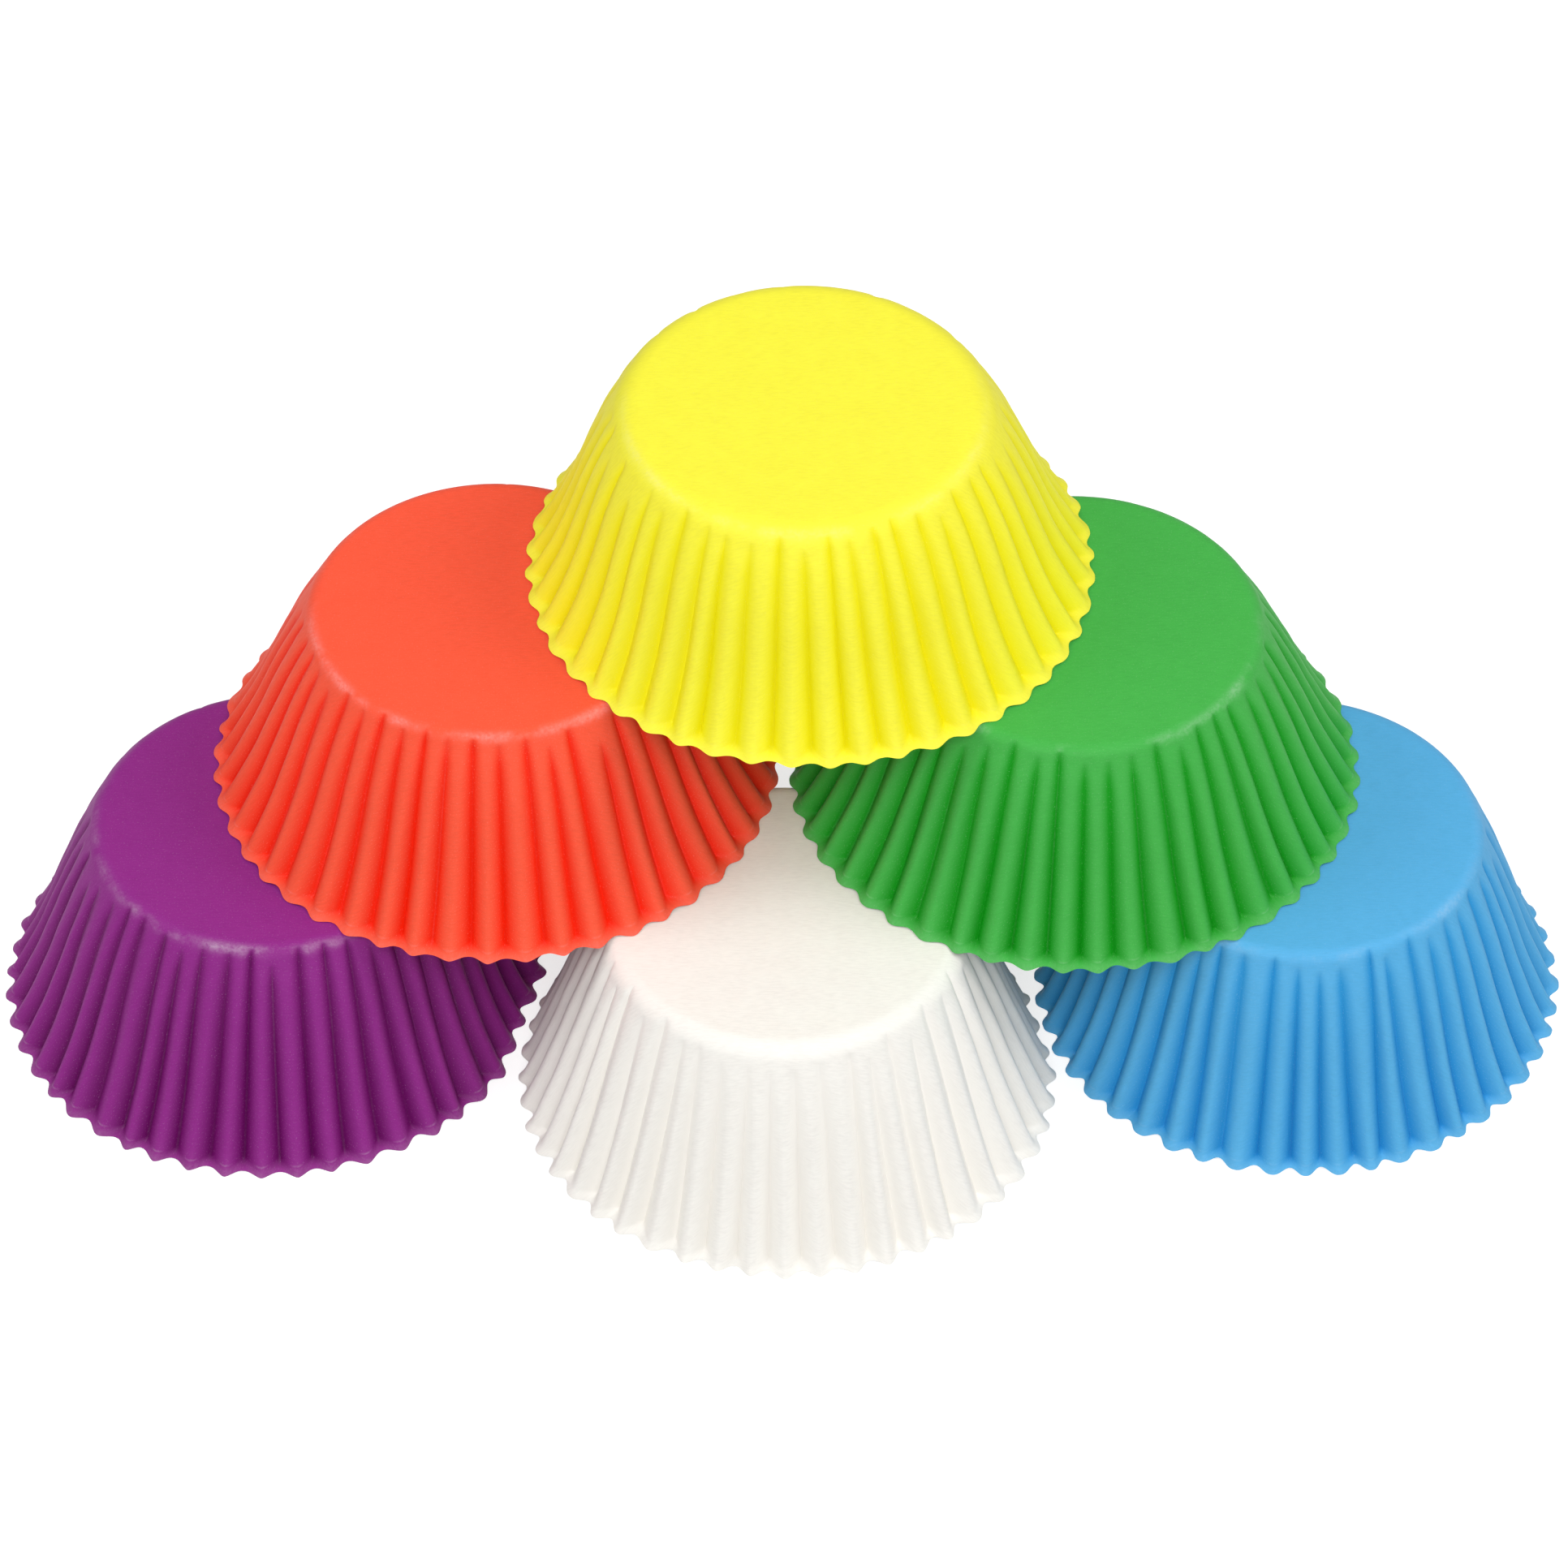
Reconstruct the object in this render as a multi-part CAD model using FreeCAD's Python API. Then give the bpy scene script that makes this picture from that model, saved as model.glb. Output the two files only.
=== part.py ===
import FreeCAD, Part
import os
from math import cos, hypot, pi, radians, sin, sqrt, tan

# Six pleated paper baking cups, set upside down in a small pyramid: three below, two on
# them and one on top. Each cup is one disc of greaseproof paper: a flat bottom, turned up
# here, and a flared wall whose spare paper stands in pleats. Nothing joins the cups. Each
# upper cup rests with its cut edge on the flat bottoms of the two below it.
# Millimetres, +Z up, +Y towards the back. The origin lies on the table, below the middle
# of the stack's box.

# Paper and wall, the same for all six cups
paper_thickness = 0.1
bottom_radius = 25.0       # to the corner where bottom and wall would meet if sharp
bend_radius = 1.2          # soft bend between bottom and wall
bend_strips = 2            # flat strips round that bend
wall_length = 32.75        # from that corner to the cut edge, along the paper

# Pleats
pleat_count = 48
crest_width = 2.0          # flat crest of a pleat, just above the lip
lip_length = 1.5           # last strip of the wall, where crests narrow and valleys open
lip_depth = 1.5            # from crest tip to valley, along the cut edge
lip_valley_width = 1.6     # valley floor along the cut edge

# Flare of the walls from the vertical, in degrees: worn cups of one size spread a little
flare_bottom_row = 22.1
flare_middle_row = 27.1
flare_top = 25.9

# Places in the stack
bottom_rim_gap = 0.4       # between the rims of neighbours in the bottom row
middle_rim_gap = 0.7       # between the two rims in the middle row
purple_set_back = 19.2     # how far behind the white cup the purple one stands
blue_set_back = 18.6
middle_set_back = 32.0     # how far behind the white cup the middle row stands
middle_skew = 1.0          # red stands this much further back, green this much nearer
top_set_back = 9.5         # how far behind the middle row the yellow cup stands
top_to_right = 3.5

# Turn of each cup about its own axis, in degrees
purple_turn = 0.2
white_turn = 0.3
blue_turn = -0.8
red_turn = -0.2
green_turn = 4.3
yellow_turn = 3.1

pitch = 2 * pi / pleat_count


def cup_height(flare):
    return wall_length * cos(radians(flare))


def rim_radius(flare):
    return bottom_radius + wall_length * sin(radians(flare))


def at(angle, outwards, sideways, z):
    """A point given in a frame whose first axis points away from the cup's axis."""
    x = outwards * cos(angle) - sideways * sin(angle)
    y = outwards * sin(angle) + sideways * cos(angle)
    return FreeCAD.Vector(x, y, z)


def pleat_valley_radius(crest_radius, along_wall):
    """Where a valley ends if the pleat uses up all the paper of the flat disc there."""
    half_paper = (bottom_radius + along_wall) * pitch / 2
    flank = half_paper - crest_width / 2
    across = crest_radius * cos(pitch / 2) + crest_width / 2 * sin(pitch / 2)
    reach = crest_radius ** 2 + (crest_width / 2) ** 2 - flank ** 2
    return across - sqrt(across ** 2 - reach)


def bend_rings(flare, thickness_inside):
    """Corner rings round the bend, from the flat bottom to the top of the pleats.

    The corners lie on the valley lines. The bend touches the bottom and the wall."""
    turn = radians(90 - flare)
    flat_radius = bottom_radius - bend_radius * tan(turn / 2)
    radius = bend_radius - thickness_inside
    rings = []
    for strip in range(bend_strips + 1):
        angle = turn * strip / bend_strips
        out = flat_radius + radius * sin(angle)
        z = cup_height(flare) - bend_radius + radius * cos(angle)
        rings.append([at((i - 0.5) * pitch, out, 0, z) for i in range(pleat_count)])
    return rings


def body_ring(flare):
    """Section just above the lip: two crest corners and one valley for each pleat."""
    along_wall = wall_length - lip_length
    z = lip_length * cos(radians(flare))
    crest = bottom_radius + along_wall * sin(radians(flare))
    valley = pleat_valley_radius(crest, along_wall)
    ring = []
    for i in range(pleat_count):
        ring.append(at(i * pitch, crest, -crest_width / 2, z))
        ring.append(at(i * pitch, crest, crest_width / 2, z))
        ring.append(at((i + 0.5) * pitch, valley, 0, z))
    return ring


def cut_ring(flare):
    """The cut edge: one crest tip and the two ends of a valley for each pleat."""
    tip = rim_radius(flare)
    ring = []
    for i in range(pleat_count):
        ring.append(at(i * pitch, tip, 0, 0))
        ring.append(at((i + 0.5) * pitch, tip - lip_depth, -lip_valley_width / 2, 0))
        ring.append(at((i + 0.5) * pitch, tip - lip_depth, lip_valley_width / 2, 0))
    return ring


def inset(ring, distance):
    """The same ring with each of its sides moved towards the cup's axis."""
    moved = []
    for i, corner in enumerate(ring):
        before = corner - ring[i - 1]
        after = ring[(i + 1) % len(ring)] - corner
        first = FreeCAD.Vector(-before.y, before.x, 0).normalize()
        second = FreeCAD.Vector(-after.y, after.x, 0).normalize()
        moved.append(corner + (first + second) * (distance / (1 + first.dot(second))))
    return moved


def facet(*corners):
    return Part.Face(Part.makePolygon(list(corners) + [corners[0]]))


def skin(bends, body, cut):
    """All facets of one side of the paper, from the bottom to the cut edge."""
    facets = [facet(*bends[0])]
    for upper, lower in zip(bends, bends[1:]):
        for i in range(pleat_count):
            facets.append(facet(upper[i - 1], upper[i], lower[i], lower[i - 1]))
    corners = bends[-1]
    for i in range(pleat_count):
        after = (i + 1) % pleat_count
        left, right, valley = body[3 * i:3 * i + 3]
        next_left = body[3 * after]
        tip, valley_start, valley_end = cut[3 * i:3 * i + 3]
        next_tip = cut[3 * after]
        facets.append(facet(corners[i], corners[after], right, left))
        facets.append(facet(corners[after], valley, right))
        facets.append(facet(corners[after], next_left, valley))
        facets.append(facet(left, right, tip))
        facets.append(facet(right, valley_start, tip))
        facets.append(facet(right, valley, valley_start))
        facets.append(facet(valley, valley_end, valley_start))
        facets.append(facet(valley, next_left, valley_end))
        facets.append(facet(next_left, next_tip, valley_end))
    return facets


def cut_edge(outside, inside):
    """The flat edge of the paper that the cup stands on."""
    wires = [Part.makePolygon(ring + [ring[0]]) for ring in (outside, inside)]
    return Part.makeFace(wires, "Part::FaceMakerBullseye")


def cup(flare):
    """One pleated cup, upside down, on its own axis, with its cut edge at z = 0."""
    sideways = paper_thickness / cos(radians(flare))
    body = body_ring(flare)
    cut = cut_ring(flare)
    inner_body = inset(body, sideways)
    inner_cut = inset(cut, sideways)
    facets = skin(bend_rings(flare, 0), body, cut)
    facets += skin(bend_rings(flare, paper_thickness), inner_body, inner_cut)
    facets.append(cut_edge(cut, inner_cut))
    sheet = Part.makeCompound(facets)
    sheet.sewShape()
    solid = Part.makeSolid(sheet.Shells[0])
    if solid.Volume < 0:
        solid.reverse()
    return solid


def beside(rim_gap, radius, set_back):
    """Sideways distance between two equal cups whose rims stand rim_gap apart."""
    return sqrt((2 * radius + rim_gap) ** 2 - set_back ** 2)


def stack():
    """Name, flare, turn and place of each cup, with the white cup's axis at x = y = 0."""
    low_radius = rim_radius(flare_bottom_row)
    middle_z = cup_height(flare_bottom_row)
    top_z = middle_z + cup_height(flare_middle_row)
    purple_x = -beside(bottom_rim_gap, low_radius, purple_set_back)
    blue_x = beside(bottom_rim_gap, low_radius, blue_set_back)
    middle_x = beside(middle_rim_gap, rim_radius(flare_middle_row), 2 * middle_skew) / 2
    red_y = middle_set_back + middle_skew
    green_y = middle_set_back - middle_skew
    yellow_y = middle_set_back + top_set_back
    return [
        ("liner_purple", flare_bottom_row, purple_turn, (purple_x, purple_set_back, 0)),
        ("liner_white", flare_bottom_row, white_turn, (0, 0, 0)),
        ("liner_blue", flare_bottom_row, blue_turn, (blue_x, blue_set_back, 0)),
        ("liner_red", flare_middle_row, red_turn, (-middle_x, red_y, middle_z)),
        ("liner_green", flare_middle_row, green_turn, (middle_x, green_y, middle_z)),
        ("liner_yellow", flare_top, yellow_turn, (top_to_right, yellow_y, top_z)),
    ]


def build():
    """All six cups, with the middle of their box above the origin."""
    up = FreeCAD.Vector(0, 0, 1)
    origin = FreeCAD.Vector(0, 0, 0)
    cups = {}
    for name, flare, turn, place in stack():
        solid = cup(flare)
        solid.rotate(origin, up, turn)
        solid.translate(FreeCAD.Vector(*place))
        cups[name] = solid
    box = Part.makeCompound(list(cups.values())).BoundBox
    for solid in cups.values():
        solid.translate(FreeCAD.Vector(-box.Center.x, -box.Center.y, 0))
    return cups


os.makedirs("parts", exist_ok=True)
for name, solid in build().items():
    solid.exportStep(os.path.join("parts", name + ".step"))
    print(name, solid.ShapeType, solid.isValid(), "volume", round(solid.Volume, 2))
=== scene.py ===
import math

import bpy
import numpy as np
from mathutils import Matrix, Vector


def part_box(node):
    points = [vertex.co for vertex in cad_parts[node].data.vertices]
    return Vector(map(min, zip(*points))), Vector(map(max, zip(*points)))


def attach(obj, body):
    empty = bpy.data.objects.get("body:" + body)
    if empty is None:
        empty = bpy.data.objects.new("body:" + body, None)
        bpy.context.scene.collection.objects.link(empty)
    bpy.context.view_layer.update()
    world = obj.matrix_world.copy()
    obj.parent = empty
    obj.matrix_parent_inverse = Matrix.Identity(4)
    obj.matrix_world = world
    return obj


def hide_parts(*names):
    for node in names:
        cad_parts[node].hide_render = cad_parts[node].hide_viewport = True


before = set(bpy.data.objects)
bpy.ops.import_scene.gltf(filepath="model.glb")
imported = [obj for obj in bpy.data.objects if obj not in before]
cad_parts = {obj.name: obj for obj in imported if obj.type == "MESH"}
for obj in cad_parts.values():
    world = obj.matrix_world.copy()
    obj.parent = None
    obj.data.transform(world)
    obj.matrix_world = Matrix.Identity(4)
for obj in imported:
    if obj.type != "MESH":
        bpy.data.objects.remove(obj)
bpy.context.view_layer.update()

bl_info = {
    "name": "Pleated Paper Cups",
    "version": (1, 0, 0),
    "blender": (4, 5, 0),
    "location": "3D View > Sidebar > Paper Cups",
    "description": "Presses flat paper blanks into pleated baking cups and stands them in a pyramid",
    "category": "Mesh",
}

MM = 0.001
SHARP_EDGE = math.radians(42)
BODY = "root"

# Each cup: the solid that it stands for, its finish, its turn in degrees and its own seed, how
# round the lobes of its cut edge are, from 1, pointed, to 3, round, how much softer than usual
# its bend is, the side on which its pleats start low, in degrees, and how worn it is, which also
# sets how strong its painted highlights on the bend and the creases are. Use has
# bent each one a little: "spread" puts its rim out of round, by an even part, a shift towards an
# angle and an oval along an angle, "lean" is the shift of its flat bottom across and back,
# "bulge" is how far the upper wall swells and the lower one draws in, and "lip" is the depth of
# its lobes beside the usual one. Millimetres and degrees. "beside" names the cups whose rims
# it meets.
CUPS = (
    {"piece": "purple_liner", "node": "liner_purple", "finish": "purple", "turn": 0.2, "seed": 11,
     "lobes": 1.5, "softness": 0.85, "low_side": 170, "wear_and_highlight": 1.0, "lip": 1.0, "bulge": 0.35,
     "spread": (1.15, 0.65, -55, 0.0, 0), "lean": (1.2, 1.4), "beside": ("liner_white",)},
    {"piece": "white_liner", "node": "liner_white", "finish": "white", "turn": 0.3, "seed": 12,
     "lobes": 1.7, "softness": 1.1, "low_side": 95, "wear_and_highlight": 0.3, "lip": 1.0, "bulge": 0.2,
     "spread": (0.30, 0.45, -20, 0.30, -10), "lean": (0.0, 2.7),
     "beside": ("liner_purple", "liner_blue")},
    {"piece": "blue_liner", "node": "liner_blue", "finish": "blue", "turn": -0.8, "seed": 13,
     "lobes": 2.6, "softness": 0.75, "low_side": 20, "wear_and_highlight": 0.5, "lip": 1.0, "bulge": 0.3,
     "spread": (0.0, 0.0, 0, 0.45, 40), "lean": (-0.8, 1.6), "beside": ("liner_white",)},
    {"piece": "red_liner", "node": "liner_red", "finish": "red", "turn": -0.2, "seed": 14,
     "lobes": 1.6, "softness": 0.75, "low_side": 160, "wear_and_highlight": 0.7, "lip": 0.7, "bulge": 0.35,
     "spread": (0.0, 0.30, -120, 0.10, 30), "lean": (-0.2, 0.1), "beside": ("liner_green",)},
    {"piece": "green_liner", "node": "liner_green", "finish": "green", "turn": 4.3, "seed": 15,
     "lobes": 1.8, "softness": 0.75, "low_side": 15, "wear_and_highlight": 0.8, "lip": 0.7, "bulge": 0.3,
     "spread": (0.20, 0.40, 50, 0.30, 20), "lean": (0.0, 0.0), "beside": ("liner_red",)},
    {"piece": "yellow_liner", "node": "liner_yellow", "finish": "yellow", "turn": 3.1, "seed": 16,
     "lobes": 1.8, "softness": 1.5, "low_side": 0, "wear_and_highlight": 0.3, "lip": 0.65, "bulge": 0.5,
     "spread": (0.35, 0.10, 180, 0.0, 0), "lean": (-1.1, 1.0), "beside": ()},
)


def length(name, description, millimetres):
    """A length setting in Blender's own unit, given in millimetres."""
    return bpy.props.FloatProperty(
        name=name, description=description, default=millimetres * MM, unit="LENGTH", precision=5
    )


def colour(name, description, value):
    """A colour setting, in linear red, green and blue."""
    return bpy.props.FloatVectorProperty(
        name=name, description=description, default=value, subtype="COLOR", size=3, min=0, max=1
    )


class PaperCupSizes(bpy.types.PropertyGroup):
    """Sizes of the paper, the pressed form and its pleats."""

    thickness: length("Paper thickness", "Thickness of the greaseproof paper", 0.1)
    bottom_radius: length("Bottom radius", "To the corner where bottom and wall would meet", 25.0)
    bend_radius: length("Bend radius", "Soft bend between the bottom and the wall", 2.8)
    lip_length: length("Lip length", "Last strip of wall, where the pleats open out", 1.3)
    lip_depth: length("Lip depth", "From tip to valley along the cut edge", 1.45)
    lip_flare: length("Lip flare", "How far the lip turns out beyond the wall", 0.3)
    pleats: bpy.props.IntProperty(
        name="Pleats", description="Pleats round one cup", default=48, min=12, max=96
    )
    fullness: bpy.props.FloatProperty(
        name="Pleat fullness",
        description="Depth of the pleats beside that of sharp folds in the same paper",
        default=0.95,
        subtype="FACTOR",
        min=0,
        max=1,
    )
    unevenness: bpy.props.FloatProperty(
        name="Unevenness",
        description="How far the pleats stray from a regular pattern",
        default=1.0,
        min=0,
        max=2,
    )


class PaperCupColours(bpy.types.PropertyGroup):
    """Dye of each paper, and how far the worn bend, with its painted highlight at the front, and the
    painted highlights on the creases turn pale.
    """

    purple: colour("Purple", "Dye of the purple paper", (0.265, 0.018, 0.232))
    white: colour("White", "Undyed paper", (0.910, 0.885, 0.835))
    blue: colour("Blue", "Dye of the blue paper", (0.095, 0.420, 0.750))
    red: colour("Red", "Dye of the red paper", (0.960, 0.095, 0.042))
    green: colour("Green", "Dye of the green paper", (0.055, 0.420, 0.065))
    yellow: colour("Yellow", "Dye of the yellow paper", (0.930, 0.865, 0.045))
    # How far the worn bend, with its painted highlight at the front, and the painted highlights on the
    # creases turn pale.
    scuffing_and_highlight: bpy.props.FloatProperty(
        name="Scuffing",
        description="How pale the rubbed bend of each cup is",
        default=0.75,
        subtype="FACTOR",
        min=0,
        max=1,
    )


class PaperCupStage(bpy.types.PropertyGroup):
    """Camera and light round the cups."""

    elevation: bpy.props.FloatProperty(
        name="Camera elevation",
        description="Angle of the view above the table",
        default=math.radians(45.87),
        subtype="ANGLE",
    )
    roll: bpy.props.FloatProperty(
        name="Camera roll", description="Tilt of the view", default=math.radians(-0.215), subtype="ANGLE"
    )
    distance: length("Camera distance", "From the camera to the point it looks at", 1000.0)
    aim_x: length("Aim across", "Point that the camera looks at, across", -0.223)
    aim_y: length("Aim along", "Point that the camera looks at, along", -3.541)
    aim_z: length("Aim height", "Point that the camera looks at, above the table", 40.0)
    lens: bpy.props.FloatProperty(
        name="Lens", description="Focal length in millimetres on a 36 mm sensor", default=166.28
    )
    right: bpy.props.FloatProperty(name="Right light", description="Power of the right lamp", default=4.4)
    left: bpy.props.FloatProperty(name="Left light", description="Power of the left lamp", default=3.1)
    front: bpy.props.FloatProperty(name="Front light", description="Power of the front lamp", default=8.2)
    ambient: bpy.props.FloatProperty(
        name="Ambient light", description="Strength of the even light from all round", default=0.42
    )


def only_active(obj):
    """Leaves one object selected and active, in object mode."""
    if bpy.context.mode != "OBJECT":
        bpy.ops.object.mode_set(mode="OBJECT")
    bpy.ops.object.select_all(action="DESELECT")
    obj.select_set(True)
    bpy.context.view_layer.objects.active = obj


def smooth_step(value):
    t = np.clip(value, 0.0, 1.0)
    return t * t * (3.0 - 2.0 * t)


# The flat blank: rings of points, as shares of the bottom or in millimetres along the wall
BOTTOM_RINGS = (0.25, 0.5, 0.72)
BEND_STRIPS = 11
BEND_REACH = 0.95          # how far the close rings reach from the corner, in bend radii
BODY_ROWS = 19
BODY_CROWDING = 1.2        # above 1, the rows of the wall stand closer near the bend
BODY_GAPS = (0.5, 0.2)     # clear of the bend and of the lip
LIP_STRIPS = 8


def blank_rings(sizes, wall):
    """Radii of the rings on the flat blank: close together at the bend and at the lip."""
    corner = sizes.bottom_radius
    bend = BEND_REACH * sizes.bend_radius
    bottom = [corner * share for share in BOTTOM_RINGS]
    bends = [corner + bend * (2 * step / BEND_STRIPS - 1) for step in range(BEND_STRIPS + 1)]
    first = bend + BODY_GAPS[0] * MM
    last = wall - sizes.lip_length - BODY_GAPS[1] * MM
    rows = [(row / BODY_ROWS) ** BODY_CROWDING for row in range(BODY_ROWS + 1)]
    body = [corner + first + (last - first) * share for share in rows]
    strips = [1 - step / LIP_STRIPS for step in range(LIP_STRIPS + 1)]
    lip = [corner + wall - sizes.lip_length * share for share in strips]
    return bottom + bends + body + lip


def model_blank(sizes, wall):
    """The round flat sheet: a filled circle whose edge is extruded outwards ring by ring."""
    rings = blank_rings(sizes, wall)
    bpy.ops.object.select_all(action="DESELECT")
    bpy.ops.mesh.primitive_circle_add(
        vertices=sizes.pleats * COLUMNS, radius=rings[0], fill_type="TRIFAN", location=(0, 0, 0)
    )
    blank = bpy.context.object
    blank.name = "paper_blank"
    bpy.ops.object.mode_set(mode="EDIT")
    bpy.ops.mesh.select_all(action="DESELECT")
    bpy.ops.mesh.select_non_manifold()
    for inner, outer in zip(rings, rings[1:]):
        grow = outer / inner
        bpy.ops.mesh.extrude_region_move()
        bpy.ops.transform.resize(value=(grow, grow, 1), center_override=(0, 0, 0))
    bpy.ops.object.mode_set(mode="OBJECT")
    return blank


# Pressing a blank into a cup. Lengths are in millimetres.
EARLY_START = (-0.4, 0.6)      # where a bold valley starts, along the wall
LATE_START = (0.4, 2.2)        # where a shallow one starts
VERY_LATE = 1.6                # how much lower some of the shallow ones start
VERY_LATE_SHARE = 0.2
SWAPPED_SHARE = 0.16           # valleys that break the turns of bold and shallow
LOW_SIDE_DROP = 1.9            # how much lower valleys start on the two low sides
BOLD, SHALLOW = 0.35, -0.15    # extra depth of a valley that has just started, as a share
YOUNG_LENGTH = 4.0             # length over which a new valley settles
CREST_SHARE = 0.27             # share of a half pleat that a settled crest takes
YOUNG_CREST = 0.33             # what a new crest adds to that share
ROUNDING = 0.22                # soft edge of a crest, as a share of a half pleat
ONSET_PAPER = 0.7              # length of wall whose spare paper a valley takes up at once
ONSET_LENGTH = 0.5
LIP_RISE = 0.75                # how much of the paper's thickness the cut edge is lifted
SIDE_LOBES = 1.2               # how much rounder the lobes are at the left and the right
RIPPLE = 0.035                 # low waves along a crest
DENT = 0.1                     # small dents of the whole rim
CREASE_WIDTH = 0.16            # crease where the lip begins
CREASE_HEIGHT = 0.06
RIM_CLEARANCE = 0.03           # left between rims that meet and the line halfway
UPRIGHT_LENGTH = 3.0           # below the bend, folds turn from square to the paper to level
SAG = 0.10                     # sag of the flat bottom, and how much it comes and goes


def pleat_habits(sizes, count, seed, low_side):
    """How each pleat of one cup strays from the pattern. A valley starts either on the
    bend or a few millimetres below it, and most deep ones have a shallow one beside them.
    On two opposite sides of the cup all of them start lower."""
    rng = np.random.default_rng(seed)
    place = (np.arange(count) - 0.5) * 2 * math.pi / count
    lower = LOW_SIDE_DROP * (0.5 + 0.5 * np.cos(2 * (place - math.radians(low_side)))) ** 1.5
    stray = sizes.unevenness
    shallow = (np.arange(count) + rng.integers(0, 2)) % 2 == 1
    swap = rng.random(count) < SWAPPED_SHARE
    shallow = np.where(swap, ~shallow, shallow)
    early = rng.uniform(*EARLY_START, count)
    late = rng.uniform(*LATE_START, count)
    late += np.where(rng.random(count) < VERY_LATE_SHARE, VERY_LATE, 0)
    return {
        "start": (np.where(shallow, late, early) + lower) * MM,
        "boldness": np.where(shallow, SHALLOW, BOLD),
        "depth": 1 + stray * rng.uniform(-0.12, 0.05, count),
        "top_shift": np.radians(np.clip(rng.normal(0, 0.75, count), -1.5, 1.5)) * stray,
        "rim_shift": np.radians(np.clip(rng.normal(0, 0.45, count), -0.9, 0.9)) * stray,
        "crest_width": rng.uniform(-0.08, 0.08, (2, count)) * stray,
        "crest": rng.uniform(0, 0.22, count) * MM * stray,
        "tip": rng.uniform(0, 0.22, count) * MM * stray,
        "lift": rng.uniform(0.05, 0.3, count) * MM * stray,
        "lip_depth": 1 + stray * rng.uniform(-0.15, 0.12, count),
        "ripple": rng.uniform(0, 2 * math.pi, count),
        "streak": rng.uniform(0, 0.15, count),
        "ripple_length": rng.uniform(7, 13, count) * MM,
        "oval": rng.uniform(0, 2 * math.pi, 3),
    }


# Columns of half a pleat. The first ones stand on the flank, counted from the valley (1) to
# the edge of the crest (0), and the others on the crest, from its edge (1) to its middle (0).
FLANK_COLUMNS = (1.0, 0.86, 0.64, 0.42, 0.20)
CREST_COLUMNS = (1.0, 0.66, 0.33)
HALF = len(FLANK_COLUMNS) + len(CREST_COLUMNS)
COLUMNS = 2 * HALF


def soft_ramp(across, start, rounding):
    """From 0 at the middle of a crest to 1 in the valley, straight after a rounded start."""
    ramp = across - start
    level = ramp + np.sqrt(ramp ** 2 + rounding ** 2)
    lowest = np.sqrt(start ** 2 + rounding ** 2) - start
    highest = 1 - start + np.sqrt((1 - start) ** 2 + rounding ** 2)
    return (level - lowest) / (highest - lowest)


def rim_room(entry, theta):
    """How far the rim can spread at each angle before it meets the rims beside it. Two rims
    that meet press each other flat, halfway between them."""
    low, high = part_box(entry["node"])
    radius = (high.x - low.x) / 2
    room = np.full(len(theta), radius)
    for node in entry["beside"]:
        other_low, other_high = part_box(node)
        away = (other_low + other_high - low - high) / 2
        half_gap = (math.hypot(away.x, away.y) - radius - (other_high.x - other_low.x) / 2) / 2
        facing = np.maximum(np.cos(theta - math.atan2(away.y, away.x)), 0.5)
        room = np.minimum(room, (radius + half_gap - RIM_CLEARANCE * MM) / facing - radius)
    return room


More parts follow.
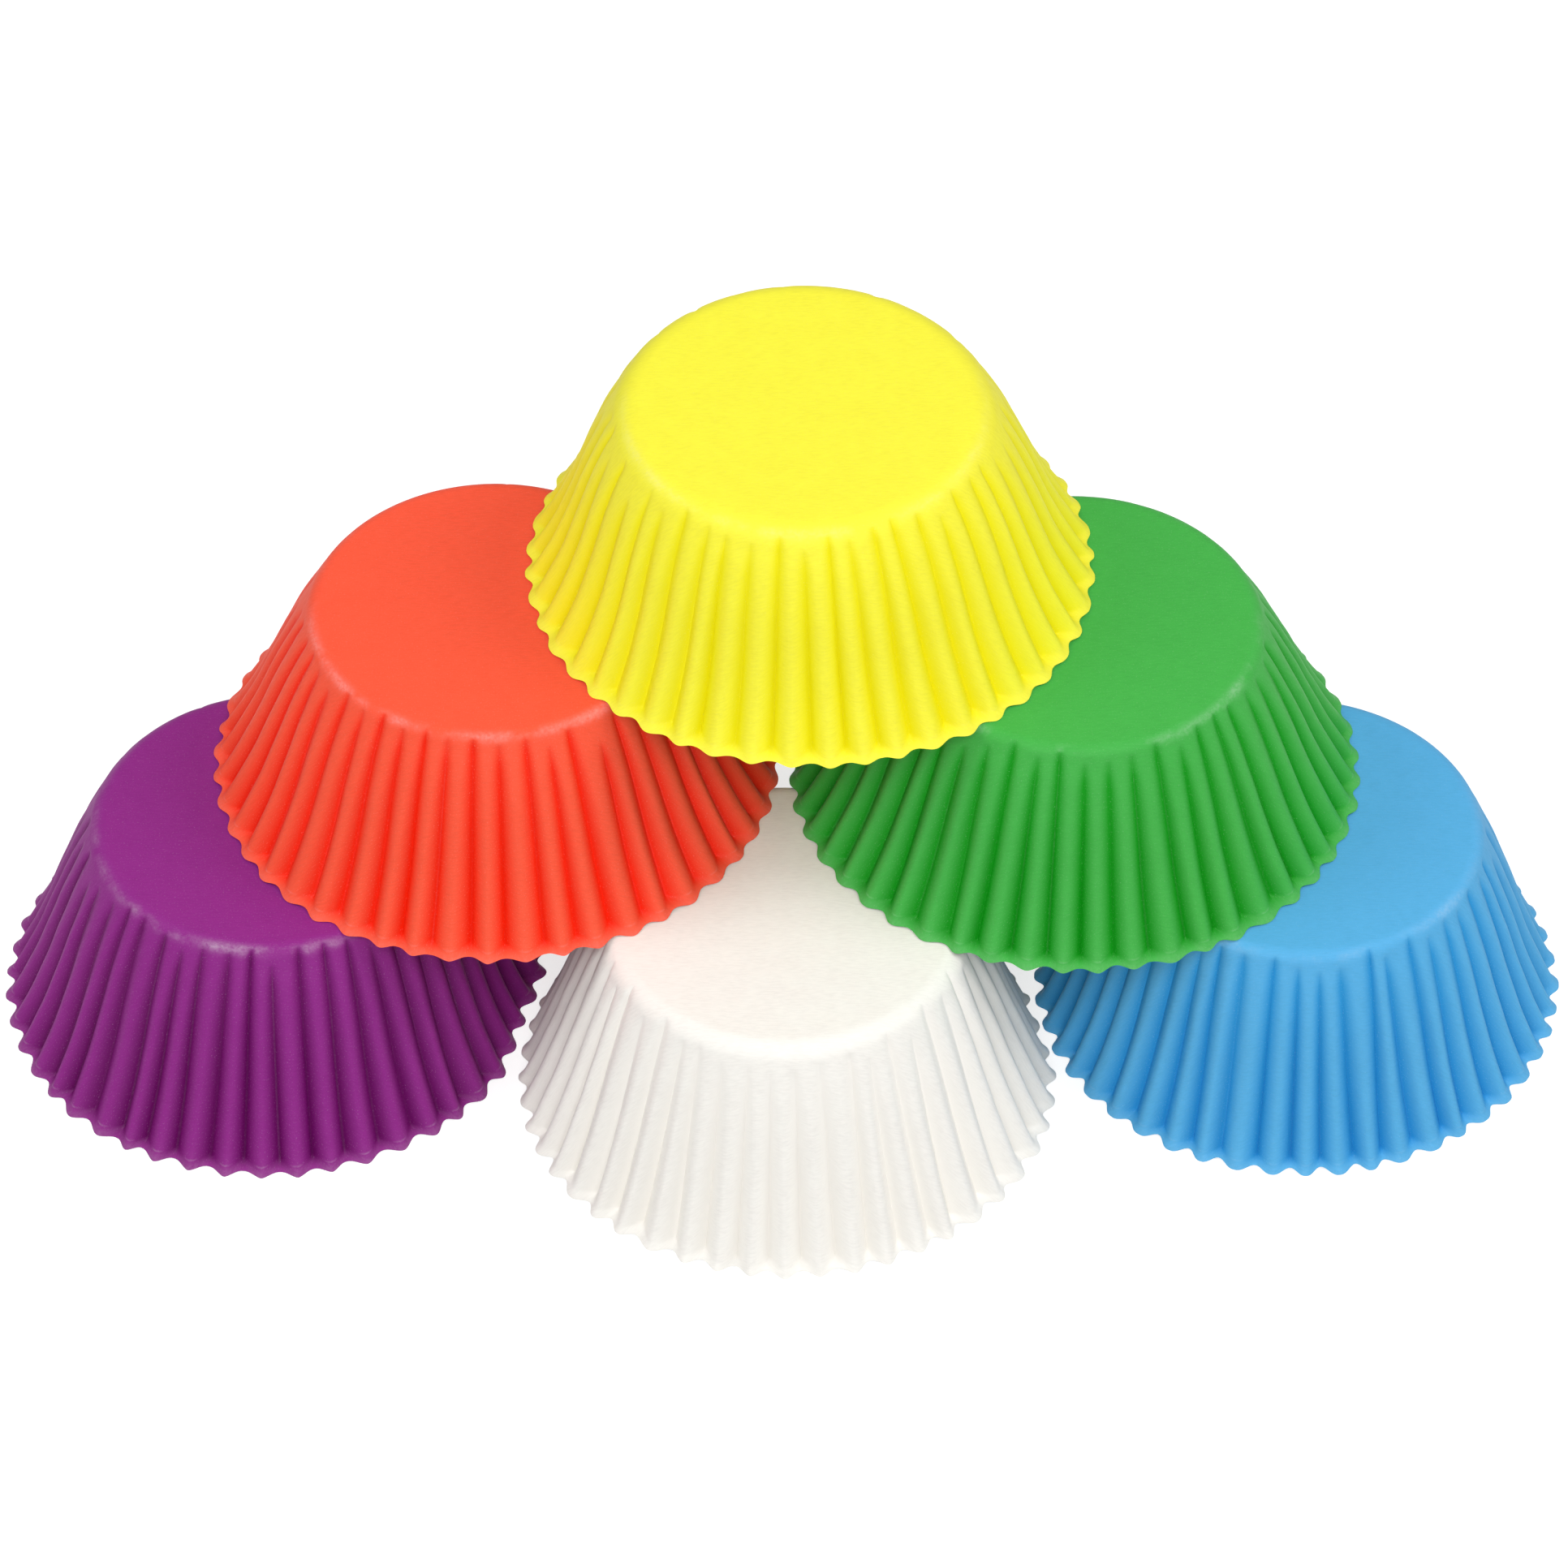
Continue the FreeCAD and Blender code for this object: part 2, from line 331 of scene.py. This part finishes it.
class PressedCup:
    """Where a fluted die puts each point of a flat blank, worked out step by step."""

    def __init__(self, mesh, sizes, entry):
        self.sizes = sizes
        self.entry = entry
        self.low, self.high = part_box(entry["node"])
        self.height = self.high.z - self.low.z
        self.tip_radius = (self.high.x - self.low.x) / 2
        self.wall = math.hypot(self.tip_radius - sizes.bottom_radius, self.height)
        self.flare = math.atan2(self.tip_radius - sizes.bottom_radius, self.height)
        self.bend_turn = math.pi / 2 - self.flare
        self.habits = pleat_habits(sizes, sizes.pleats, entry["seed"], entry["low_side"])
        self.half_pitch = math.pi / sizes.pleats
        self.find_columns(mesh)
        self.shape_section()
        self.turn_points()
        self.form_wall()
        self.form_valleys()
        self.add_faults()
        self.bend_by_use()
        self.fold_inwards()

    def find_columns(self, mesh):
        """Each point's pleat, its place in it and its distance along the wall."""
        flat = np.zeros(len(mesh.vertices) * 3, np.float32)
        mesh.vertices.foreach_get("co", flat)
        flat = flat.reshape(-1, 3).astype(float)
        count = self.sizes.pleats
        angle = np.arctan2(flat[:, 1], flat[:, 0]) % (2 * math.pi)
        column = np.rint(angle / (2 * math.pi) * count * COLUMNS).astype(int) % (count * COLUMNS)
        step = column % COLUMNS
        self.radius = np.hypot(flat[:, 0], flat[:, 1])
        self.pleat = column // COLUMNS
        self.after = (self.pleat + 1) % count
        self.right_side = step > HALF
        self.from_valley = np.where(self.right_side, COLUMNS - step, step)
        self.nearer = np.where(self.right_side, self.after, self.pleat)
        self.along = self.radius - self.sizes.bottom_radius
        self.down = np.clip(self.along / self.wall, 0, 1)

    def shape_section(self):
        """Share of the half pleat that the crest takes, and the point's place from its middle."""
        habits = self.habits
        side = self.right_side.astype(int)
        self.below_start = np.maximum(self.along - habits["start"][self.nearer], 0)
        self.young = np.exp(-self.below_start / (YOUNG_LENGTH * MM))
        self.crest = CREST_SHARE + YOUNG_CREST * self.young + habits["crest_width"][side, self.nearer]
        flank_place = np.array(FLANK_COLUMNS + (0.0,) * (len(CREST_COLUMNS) + 1))[self.from_valley]
        crest_place = np.array((1.0,) * len(FLANK_COLUMNS) + CREST_COLUMNS + (0.0,))[self.from_valley]
        self.across = self.crest * crest_place + (1 - self.crest) * flank_place
        self.middle = 1 - self.across ** 2

    def turn_points(self):
        """Angles of the two valleys beside each point, which drift a little on their way down,
        and the point's own angle between them."""
        count = self.sizes.pleats
        top = self.habits["top_shift"] + (np.arange(count) - 0.5) * 2 * self.half_pitch
        rim = self.habits["rim_shift"] + (np.arange(count) - 0.5) * 2 * self.half_pitch
        full_turn = np.where(self.after == 0, 2 * math.pi, 0)
        self.left = top[self.pleat] + (rim[self.pleat] - top[self.pleat]) * self.down
        self.right = top[self.after] + full_turn + (rim[self.after] - top[self.after]) * self.down
        self.theta = self.between_valleys(self.across) + math.radians(self.entry["turn"])

    def between_valleys(self, across):
        """The angle at a place in the half pleat, from 0 on the crest to 1 in the valley."""
        share = np.where(self.right_side, 1 + across, 1 - across) / 2
        return self.left + (self.right - self.left) * share

    def form_wall(self):
        """The smooth form that the crests lie on: flat bottom, round bend, straight wall, lip."""
        sizes = self.sizes
        bend_radius = sizes.bend_radius * self.entry["softness"]
        self.tangent = bend_radius * math.tan(self.bend_turn / 2)
        bend = np.clip((self.along + self.tangent) / (2 * self.tangent), 0, 1) * self.bend_turn
        self.flat_radius = sizes.bottom_radius - self.tangent
        on_bottom = self.along <= -self.tangent
        on_wall = self.along >= self.tangent
        self.lip = np.clip((self.along - (self.wall - sizes.lip_length)) / sizes.lip_length, 0, 1)
        self.opened = smooth_step(self.lip)
        straight = (self.tip_radius - sizes.lip_flare - sizes.bottom_radius) / self.wall
        out = self.flat_radius + bend_radius * np.sin(bend)
        z = self.height - bend_radius * (1 - np.cos(bend))
        out = np.where(on_wall, sizes.bottom_radius + self.along * straight, out)
        self.out = np.where(on_bottom, self.radius, out)
        z = np.where(on_wall, self.height * (1 - self.down), z)
        self.z = z + LIP_RISE * sizes.thickness * self.lip
        upright = smooth_step((self.along - self.tangent) / (UPRIGHT_LENGTH * MM))
        self.tilt = np.where(on_wall, self.bend_turn, bend) * (1 - upright) + math.pi / 2 * upright

    def form_valleys(self):
        """How far each point lies inside the crests, from the paper that the smaller circle
        leaves over, and from the lobes of the lip."""
        habits, nearer = self.habits, self.nearer
        onset = ONSET_PAPER * MM * (1 - np.exp(-self.below_start / (ONSET_LENGTH * MM)))
        spare = (self.below_start + onset) * (1 - math.sin(self.flare)) * self.half_pitch
        room = 2 * self.out * self.half_pitch * (1 - self.crest)
        self.depth = self.sizes.fullness * np.sqrt(spare * (spare + room))
        self.depth *= (1 + habits["boldness"][nearer] * self.young) * habits["depth"][nearer]
        self.body_wave = soft_ramp(self.across, self.crest, ROUNDING)
        lobes = self.entry["lobes"] + SIDE_LOBES * np.cos(self.theta) ** 2
        self.lip_wave = np.sin(math.pi / 2 * self.across) ** lobes
        lip_depth = self.sizes.lip_depth * self.entry["lip"] * habits["lip_depth"][nearer]
        self.inward = self.depth * self.body_wave * (1 - self.opened)
        self.inward = self.inward + lip_depth * self.lip_wave * self.opened

    def add_faults(self):
        """Uneven crests and tips, low ripples along the crests and a crease above the lip."""
        habits, pleat, middle = self.habits, self.pleat, self.middle
        closed = 1 - self.opened
        uneven = habits["crest"][pleat] * self.down * closed + habits["tip"][pleat] * self.opened
        self.inward += uneven * middle
        ripple = np.sin(2 * math.pi * self.along / habits["ripple_length"][pleat] + habits["ripple"][pleat])
        self.inward += RIPPLE * MM * (1 + ripple) * middle * np.clip(self.down * 4, 0, 1) * closed
        self.from_lip = self.along - (self.wall - self.sizes.lip_length)
        self.crease = np.exp(-(self.from_lip / (CREASE_WIDTH * MM)) ** 2)

    def bend_by_use(self):
        """The rim out of round, the swelling wall, and the lip that turns out."""
        entry, theta = self.entry, self.theta
        even, shift, shift_angle, oval, oval_angle = entry["spread"]
        spread = even + shift * np.cos(theta - math.radians(shift_angle))
        spread += oval * np.cos(2 * (theta - math.radians(oval_angle)))
        spread = np.minimum(spread * MM, rim_room(entry, theta))
        waves = enumerate(self.habits["oval"])
        dent = sum(1 + np.cos((k + 2) * theta + phase) for k, phase in waves) / 6
        on_side = np.clip(self.along / (2 * MM) + 1, 0, 1)
        self.out = self.out + (spread * self.down - DENT * MM * dent) * on_side
        swell = np.sin(2 * math.pi * self.down) * smooth_step(6 * self.down)
        self.out = self.out + entry["bulge"] * MM * swell
        self.out = self.out + self.sizes.lip_flare * self.lip
        self.out = self.out + CREASE_HEIGHT * MM * self.crease * self.middle

    def fold_inwards(self):
        """Folds the valleys in: level on the wall, and square to the paper on the bend."""
        self.out = self.out - self.inward * np.sin(self.tilt)
        self.z = self.z - self.inward * np.cos(self.tilt)
        self.z = self.z + self.habits["lift"][self.nearer] * self.lip_wave * self.opened
        sag = SAG * (1 + np.cos(3 * self.theta + self.habits["oval"][0])) / 2 + SAG
        self.z = self.z - sag * MM * np.clip(1 - (self.radius / self.flat_radius) ** 2, 0, 1)

    def points(self):
        """The points in the shared frame, with the flat bottom shifted by the cup's lean."""
        centre = (self.low + self.high) / 2
        lean_x, lean_y = (shift * MM * (1 - self.down) for shift in self.entry["lean"])
        x = centre.x + lean_x + self.out * np.cos(self.theta)
        y = centre.y + lean_y + self.out * np.sin(self.theta)
        return np.column_stack((x, y, self.low.z + self.z))

    def places_on_sheet(self):
        """Where the paper of each point came from on the flat sheet. Each cup has a sheet of
        its own, at a height of its own in the pattern."""
        half_width = self.out * self.half_pitch
        flank = np.hypot((1 - self.crest) * half_width, self.depth)
        from_crest = np.minimum(self.across, self.crest) * half_width
        from_crest += np.clip((self.across - self.crest) / (1 - self.crest), 0, 1) * flank
        across = from_crest / np.maximum(self.crest * half_width + flank, 1e-9)
        angle = self.between_valleys(across)
        sheet = np.full(len(self.radius), self.entry["seed"] * 0.1)
        return np.column_stack((self.radius * np.cos(angle), self.radius * np.sin(angle), sheet))

    def reach(self):
        """1 where the wall's pleats are deep, 0 on the bottom and at the cut edge."""
        return np.clip(self.depth / (0.5 * MM), 0, 1) * (1 - self.opened)

    def fold_shade_marks(self):
        """How deep down in the folds each point lies: the mask of the painted shade there."""
        return np.clip(self.body_wave, 0, 1) * self.reach()

    def crease_highlight_marks(self):
        """Painted highlights: the pale line above the lip, the pale tips and the pale streaks in the
        valleys, made stronger on the more worn cups.
        """
        line = 0.45 * np.exp(-(self.from_lip / (0.12 * MM)) ** 2) * np.clip(1.4 - self.across / 0.3, 0, 1)
        creased = np.maximum(line, 0.35 * self.lip * self.middle ** 2)
        streak = self.habits["streak"][self.nearer] * np.clip((self.across - 0.93) / 0.07, 0, 1)
        return np.maximum(creased, streak * self.reach()) * self.entry["wear_and_highlight"]

    def rubbed_and_highlight_marks(self):
        """Pale rubbing on the bend, not down in the valleys, with a painted highlight that makes it
        strongest at the front.
        """
        rubbed = np.exp(-((self.along - 0.2 * MM) / (0.8 * MM)) ** 2)
        in_valley = np.clip(self.body_wave * self.depth / (0.2 * MM), 0, 1)
        rubbed *= (0.3 + 0.7 * self.entry["wear_and_highlight"]) * (1 - in_valley)
        # Painted highlight: the band is raised towards the front, where the bend catches the front light.
        return rubbed * (0.25 + 0.75 * smooth_step(0.35 - 0.9 * np.sin(self.theta)))


def press_cup(cup, sizes, entry):
    """Moves the points of a flat blank into a cup, and marks on them the folds for painted shade, the worn
    bend with its painted highlight and the painted highlights of the creases.
    """
    mesh = cup.data
    pressed = PressedCup(mesh, sizes, entry)
    mesh.vertices.foreach_set("co", pressed.points().astype(np.float32).ravel())
    paint(mesh, "sheet", "FLOAT_VECTOR", pressed.places_on_sheet())
    # Masks for the painted shade in the folds, the worn bend with its painted highlight, and the painted
    # highlights on the creases.
    paint(mesh, "fold", "FLOAT", pressed.fold_shade_marks())
    paint(mesh, "creased", "FLOAT", pressed.crease_highlight_marks())
    paint(mesh, "rubbed", "FLOAT", pressed.rubbed_and_highlight_marks())
    mesh.update()


def paint(mesh, name, kind, values):
    """Keeps a value on each point, for the paper's material."""
    layer = mesh.attributes.new(name, kind, "POINT")
    key = "vector" if kind == "FLOAT_VECTOR" else "value"
    layer.data.foreach_set(key, np.asarray(values, np.float32).ravel())


def give_thickness(cup, sizes):
    """Turns the pressed surface into paper with two sides and a cut edge."""
    only_active(cup)
    solidify = cup.modifiers.new("Paper", "SOLIDIFY")
    solidify.thickness = sizes.thickness
    solidify.offset = -1
    solidify.use_even_offset = False
    bpy.ops.object.modifier_apply(modifier=solidify.name)
    bpy.ops.object.shade_smooth_by_angle(angle=SHARP_EDGE)


# Materials. The grain's sizes are cells of noise in one metre of the sheet.
FIBRES = 2600
CROSS_FIBRES = 2200
SPECKS = 4200
GRIT = 1700
CLOUDS = 300
PATCHES = 110
BARE_FIBRE = 0.92          # brightness of a fibre that has lost its dye


class Nodes:
    """Short ways to add and join the nodes of one material."""

    def __init__(self, material):
        material.use_nodes = True
        self.tree = material.node_tree
        self.tree.nodes.clear()

    def add(self, kind, **settings):
        node = self.tree.nodes.new("ShaderNode" + kind)
        for key, value in settings.items():
            setattr(node, key, value)
        return node

    def join(self, source, target):
        self.tree.links.new(source, target)

    def attribute(self, name):
        return self.add("Attribute", attribute_name=name)

    def noise(self, vector, scale, detail, stretch=(1, 1, 1), turn=0.0):
        placed = self.add("Mapping")
        placed.inputs["Rotation"].default_value = (0, 0, turn)
        placed.inputs["Scale"].default_value = stretch
        self.join(vector, placed.inputs["Vector"])
        cloud = self.add("TexNoise")
        cloud.inputs["Scale"].default_value = scale
        cloud.inputs["Detail"].default_value = detail
        cloud.inputs["Roughness"].default_value = 0.6
        self.join(placed.outputs["Vector"], cloud.inputs["Vector"])
        return cloud.outputs["Fac"]

    def ranged(self, value, low, high, to_low, to_high):
        node = self.add("MapRange")
        node.inputs["From Min"].default_value = low
        node.inputs["From Max"].default_value = high
        node.inputs["To Min"].default_value = to_low
        node.inputs["To Max"].default_value = to_high
        self.join(value, node.inputs["Value"])
        return node.outputs["Result"]

    def math(self, operation, first, second):
        node = self.add("Math", operation=operation)
        for socket, value in zip(node.inputs, (first, second)):
            if isinstance(value, (int, float)):
                socket.default_value = value
            else:
                self.join(value, socket)
        return node.outputs["Value"]

    def blend(self, share, first, second):
        node = self.add("Mix", data_type="RGBA")
        for socket, value in zip((node.inputs[0], node.inputs[6], node.inputs[7]), (share, first, second)):
            if isinstance(value, tuple):
                socket.default_value = (*value, 1)
            else:
                self.join(value, socket)
        return node.outputs[2]


def faded(dye, share):
    """The dye with a share of it gone from the fibres."""
    return tuple(value + (BARE_FIBRE - value) * share for value in dye)


def fold_shaded(dye):
    """Painted shade: the dye darkened and deepened as it looks deep in the folds, where light meets it more
    than once.
    """
    strength = 1 - min(dye)
    return tuple(max(value - 0.06 * strength ** 2, 0) ** (1 + 0.25 * strength) for value in dye)


def paper_material(name, dye, scuffing_and_highlight):
    """Matte greaseproof paper: dyed fibres that lie mostly one way across the sheet, a cloudy
    formation, pale specks, painted shade that deepens the colour in the folds, a pale worn bend
    with a painted highlight at the front, and painted highlights on the creases."""
    material = bpy.data.materials.new(name)
    nodes = Nodes(material)
    sheet = nodes.attribute("sheet").outputs["Vector"]
    fold = nodes.attribute("fold").outputs["Fac"]
    creased = nodes.attribute("creased").outputs["Fac"]
    rubbed = nodes.attribute("rubbed").outputs["Fac"]
    fibres = nodes.noise(sheet, FIBRES, 3, stretch=(0.25, 1.5, 1), turn=0.2)
    cross_fibres = nodes.noise(sheet, CROSS_FIBRES, 3, stretch=(1.4, 0.3, 1), turn=-0.15)
    clouds = nodes.noise(sheet, CLOUDS, 3)
    specks = nodes.noise(sheet, SPECKS, 2)

    dye = tuple(dye)
    deep = tuple(value * 0.93 for value in dye)
    pale = tuple(min(value * 1.07 + 0.005, 0.95) for value in dye)
    body = nodes.blend(nodes.ranged(fibres, 0.35, 0.60, 0, 1), deep, dye)
    body = nodes.blend(nodes.ranged(clouds, 0.35, 0.70, 0, 0.3), body, pale)
    # Painted shade: darker, deeper colour down in the folds.
    body = nodes.blend(nodes.ranged(fold, 0.02, 0.85, 0, 1.0), body, fold_shaded(dye))
    body = nodes.blend(nodes.ranged(specks, 0.60, 0.72, 0, 0.5), body, faded(dye, 0.12))
    patches = nodes.ranged(nodes.noise(sheet, PATCHES, 6), 0.44, 0.64, 0, 1)
    grit = nodes.ranged(nodes.noise(sheet, GRIT, 4), 0.35, 0.62, 0.35, 1)
    # Pale worn bend with a painted highlight at the front, and painted highlights on the creases, tips and
    # valley streaks.
    scuff_and_highlight = nodes.math("MULTIPLY", nodes.math("MULTIPLY", rubbed, patches), grit)
    scuff_and_highlight = nodes.math("MAXIMUM", scuff_and_highlight, nodes.math("MULTIPLY", creased, grit))
    body = nodes.blend(nodes.math("MULTIPLY", scuff_and_highlight, scuffing_and_highlight), body, faded(dye, 0.35))

    relief = nodes.math("ADD", fibres, nodes.math("MULTIPLY", cross_fibres, 0.7))
    relief = nodes.math("ADD", relief, nodes.math("MULTIPLY", specks, 0.5))
    bump = nodes.add("Bump")
    bump.inputs["Strength"].default_value = 0.17
    bump.inputs["Distance"].default_value = 0.012 * MM
    nodes.join(relief, bump.inputs["Height"])

    shader = nodes.add("BsdfPrincipled")
    shader.inputs["Specular IOR Level"].default_value = 0.2
    nodes.join(body, shader.inputs["Base Color"])
    nodes.join(nodes.ranged(fibres, 0.3, 0.7, 0.62, 0.50), shader.inputs["Roughness"])
    nodes.join(bump.outputs["Normal"], shader.inputs["Normal"])
    output = nodes.add("OutputMaterial")
    nodes.join(shader.outputs["BSDF"], output.inputs["Surface"])
    return material


class PAPERCUPS_OT_liners(bpy.types.Operator):
    """Model the six pleated paper cups where the frame has them"""

    bl_idname = "papercups.liners"
    bl_label = "Pleated Cups"

    def execute(self, context):
        sizes = context.scene.paper_cup_sizes
        colours = context.scene.paper_cup_colours
        low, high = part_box(CUPS[0]["node"])
        wall = math.hypot((high.x - low.x) / 2 - sizes.bottom_radius, high.z - low.z)
        blank = model_blank(sizes, wall)
        for entry in CUPS:
            only_active(blank)
            bpy.ops.object.duplicate()
            cup = context.object
            cup.name = entry["piece"]
            cup.data.name = entry["piece"]
            press_cup(cup, sizes, entry)
            give_thickness(cup, sizes)
            finish = entry["finish"]
            dye = getattr(colours, finish)
            cup.data.materials.clear()
            cup.data.materials.append(paper_material(finish + "_paper", dye, colours.scuffing_and_highlight))
            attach(cup, BODY)
            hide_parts(entry["node"])
        only_active(blank)
        bpy.ops.object.delete()
        return {"FINISHED"}


# Stage, in metres
TABLE_SIZE = 2
TABLE_GREY = 0.50
TABLE_GLOW = 0.70          # what the camera sees on top of the light that the table gets
LAMP_AIM = (0, 0, 0.04)
LAMPS = (
    {"side": "right", "place": (0.75, 0.0, 0.90), "size": 0.5},
    {"side": "left", "place": (-0.80, 0.0, 0.85), "size": 0.5},
    {"side": "front", "place": (0.0, -0.85, 0.90), "size": 0.8},
)
SENSOR_WIDTH = 36
CLIP_START, CLIP_END = 0.01, 20


def seen_by_camera(nodes):
    """1 for rays that come straight, mirrored or bent from the camera."""
    path = nodes.add("LightPath")
    seen = nodes.math("MAXIMUM", path.outputs["Is Camera Ray"], path.outputs["Is Glossy Ray"])
    return nodes.math("MAXIMUM", seen, path.outputs["Is Transmission Ray"])


def add_glow(nodes, shader, strength):
    """Adds white to a shader, for the camera only."""
    glow = nodes.add("Emission")
    nodes.join(nodes.math("MULTIPLY", seen_by_camera(nodes), strength), glow.inputs["Strength"])
    total = nodes.add("AddShader")
    nodes.join(shader, total.inputs[0])
    nodes.join(glow.outputs["Emission"], total.inputs[1])
    return total.outputs["Shader"]


def floor_material():
    """White table that keeps a soft shadow."""
    material = bpy.data.materials.new("white_table")
    nodes = Nodes(material)
    diffuse = nodes.add("BsdfDiffuse")
    diffuse.inputs["Color"].default_value = (TABLE_GREY, TABLE_GREY, TABLE_GREY, 1)
    output = nodes.add("OutputMaterial")
    shader = add_glow(nodes, diffuse.outputs["BSDF"], TABLE_GLOW)
    nodes.join(shader, output.inputs["Surface"])
    return material


def world_light(ambient):
    """Even light from all round, seen as plain white."""
    world = bpy.data.worlds.new("white_room")
    bpy.context.scene.world = world
    nodes = Nodes(world)
    background = nodes.add("Background")
    strength = nodes.ranged(seen_by_camera(nodes), 0, 1, ambient, 1.0)
    nodes.join(strength, background.inputs["Strength"])
    output = nodes.add("OutputWorld")
    nodes.join(background.outputs["Background"], output.inputs["Surface"])


def softbox(name, place, aim, size, power):
    """A square lamp that faces a point."""
    bpy.ops.object.select_all(action="DESELECT")
    bpy.ops.object.light_add(type="AREA", location=place)
    lamp = bpy.context.object
    lamp.name = name
    lamp.data.shape = "SQUARE"
    lamp.data.size = size
    lamp.data.energy = power
    lamp.rotation_euler = (Vector(aim) - Vector(place)).to_track_quat("-Z", "Y").to_euler()


def add_camera(stage):
    """The view of the photograph."""
    forward = Vector((0, math.cos(stage.elevation), -math.sin(stage.elevation)))
    aim = Vector((stage.aim_x, stage.aim_y, stage.aim_z))
    bpy.ops.object.select_all(action="DESELECT")
    bpy.ops.object.camera_add(location=aim - forward * stage.distance)
    camera = bpy.context.object
    camera.name = "view"
    camera.rotation_euler = (math.pi / 2 - stage.elevation, 0, 0)
    camera.rotation_euler.rotate_axis("Z", -stage.roll)
    camera.data.lens = stage.lens
    camera.data.sensor_width = SENSOR_WIDTH
    camera.data.clip_start = CLIP_START
    camera.data.clip_end = CLIP_END
    bpy.context.scene.camera = camera


class PAPERCUPS_OT_stage(bpy.types.Operator):
    """Add the table, the lamps and the camera"""

    bl_idname = "papercups.stage"
    bl_label = "Stage"

    def execute(self, context):
        stage = context.scene.paper_cup_stage
        bpy.ops.object.select_all(action="DESELECT")
        bpy.ops.mesh.primitive_plane_add(size=TABLE_SIZE, location=(0, 0, 0))
        table = context.object
        table.name = "table"
        table.data.materials.append(floor_material())
        world_light(stage.ambient)
        for lamp in LAMPS:
            side = lamp["side"]
            softbox(side + "_lamp", lamp["place"], LAMP_AIM, lamp["size"], getattr(stage, side))
        add_camera(stage)
        context.scene.view_settings.view_transform = "Standard"
        return {"FINISHED"}


class PAPERCUPS_PT_panel(bpy.types.Panel):
    """Buttons and settings for the paper cups"""

    bl_idname = "PAPERCUPS_PT_panel"
    bl_label = "Paper Cups"
    bl_space_type = "VIEW_3D"
    bl_region_type = "UI"
    bl_category = "Paper Cups"

    def draw(self, context):
        layout = self.layout
        for operator in OPERATORS:
            layout.operator(operator.bl_idname)
        for key in GROUPS:
            box = layout.box()
            group = getattr(context.scene, key)
            for name in group.bl_rna.properties.keys():
                if name not in ("rna_type", "name"):
                    box.prop(group, name)


GROUPS = {
    "paper_cup_sizes": PaperCupSizes,
    "paper_cup_colours": PaperCupColours,
    "paper_cup_stage": PaperCupStage,
}
OPERATORS = (PAPERCUPS_OT_liners, PAPERCUPS_OT_stage)
CLASSES = (*GROUPS.values(), *OPERATORS, PAPERCUPS_PT_panel)


def register():
    for item in CLASSES:
        bpy.utils.register_class(item)
    for key, group in GROUPS.items():
        setattr(bpy.types.Scene, key, bpy.props.PointerProperty(type=group))


def unregister():
    for key in GROUPS:
        delattr(bpy.types.Scene, key)
    for item in reversed(CLASSES):
        bpy.utils.unregister_class(item)


def main():
    register()
    bpy.ops.papercups.liners()
    bpy.ops.papercups.stage()


if __name__ == "__main__":
    main()
